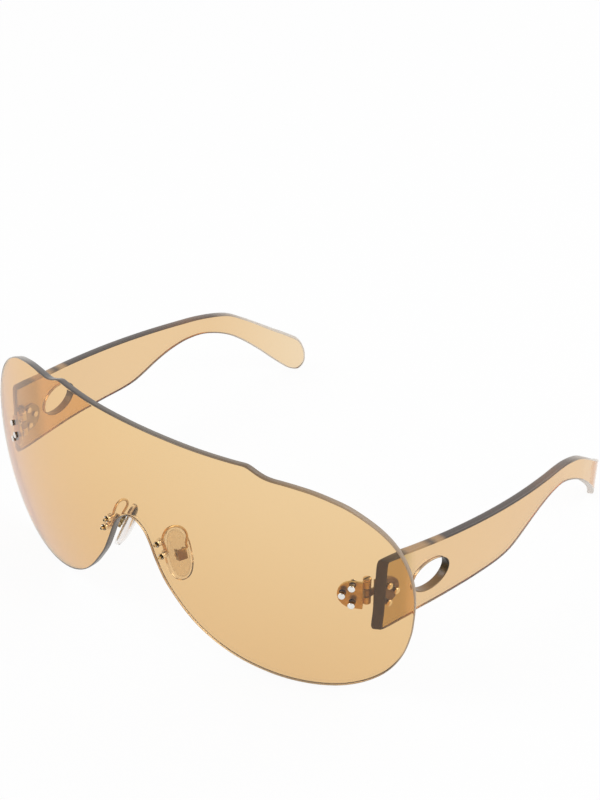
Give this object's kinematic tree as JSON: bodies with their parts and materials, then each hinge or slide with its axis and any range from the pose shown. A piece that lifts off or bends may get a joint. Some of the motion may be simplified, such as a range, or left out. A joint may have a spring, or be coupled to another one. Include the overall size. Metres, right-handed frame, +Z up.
{
  "type": "sunglasses",
  "caption": "Rimless shield sunglasses with one curved amber lens, wide folding see-through temples on riveted hinges and rocking silicone nose pads.",
  "frame": {"origin": "middle of the bounding box at the surface it rests on", "axes": "+Z up with the glasses resting on the lens's lower lobes and the temple tips, -Y the way the lens faces, +Y back along the open temples, X from temple to temple across the plane of symmetry"},
  "size_m": [0.1446, 0.1368, 0.0619],
  "materials": {
    "amber_lens": "polished see-through amber lens",
    "amber_temple": "polished see-through amber temple",
    "hinge_metal": "satin gilt hinge metal",
    "rivet_silver": "bright rivet heads",
    "rivet_gold": "pale gold rivets",
    "wire_gold": "polished pale gold wire",
    "pad_silicone": "clear soft silicone",
    "clear_bush": "clear plastic sleeve"
  },
  "bodies": {
    "front": {"lens_shield": "amber_lens", "front_hinge_plate_left": "hinge_metal", "hinge_screw_left": "hinge_metal", "lens_rivet_upper_left": "rivet_silver", "lens_rivet_inner_left": "rivet_silver", "lens_rivet_lower_left": "rivet_silver", "pad_arm_left": "wire_gold", "pad_bush_upper_left": "clear_bush", "pad_bush_lower_left": "clear_bush", "pad_box_left": "wire_gold", "pad_screw_left": "wire_gold", "front_hinge_plate_right": "hinge_metal", "hinge_screw_right": "hinge_metal", "lens_rivet_upper_right": "rivet_silver", "lens_rivet_inner_right": "rivet_silver", "lens_rivet_lower_right": "rivet_silver", "pad_arm_right": "wire_gold", "pad_bush_upper_right": "clear_bush", "pad_bush_lower_right": "clear_bush", "pad_box_right": "wire_gold", "pad_screw_right": "wire_gold"},
    "temple_left": {"temple_left": "amber_temple", "temple_hinge_plate_left": "hinge_metal", "temple_rivet_upper_left": "rivet_gold", "temple_rivet_rear_left": "rivet_gold", "temple_rivet_lower_left": "rivet_gold"},
    "nose_pad_left": {"nose_pad_left": "pad_silicone", "pad_core_left": "wire_gold"},
    "temple_right": {"temple_right": "amber_temple", "temple_hinge_plate_right": "hinge_metal", "temple_rivet_upper_right": "rivet_gold", "temple_rivet_rear_right": "rivet_gold", "temple_rivet_lower_right": "rivet_gold"},
    "nose_pad_right": {"nose_pad_right": "pad_silicone", "pad_core_right": "wire_gold"}
  },
  "joints": [
    {"name": "temple_fold_right", "type": "hinge", "parent": "front", "child": "temple_right", "pos_m": [0.05963, -0.04738, 0.0315], "axis": [0, 0, 1], "range_deg": [0, 87]},
    {"name": "temple_fold_left", "type": "hinge", "parent": "front", "child": "temple_left", "pos_m": [-0.05963, -0.04738, 0.0315], "axis": [0, 0, -1], "range_deg": [0, 76]},
    {"name": "nose_pad_rock_right", "type": "hinge", "parent": "front", "child": "nose_pad_right", "pos_m": [0.01083, -0.06075, 0.02713], "axis": [0.3911, 0.9199, 0.0284], "range_deg": [-10, 10]},
    {"name": "nose_pad_rock_left", "type": "hinge", "parent": "front", "child": "nose_pad_left", "pos_m": [-0.01083, -0.06075, 0.02713], "axis": [0.3911, -0.9199, -0.0284], "range_deg": [-10, 10]}
  ]
}
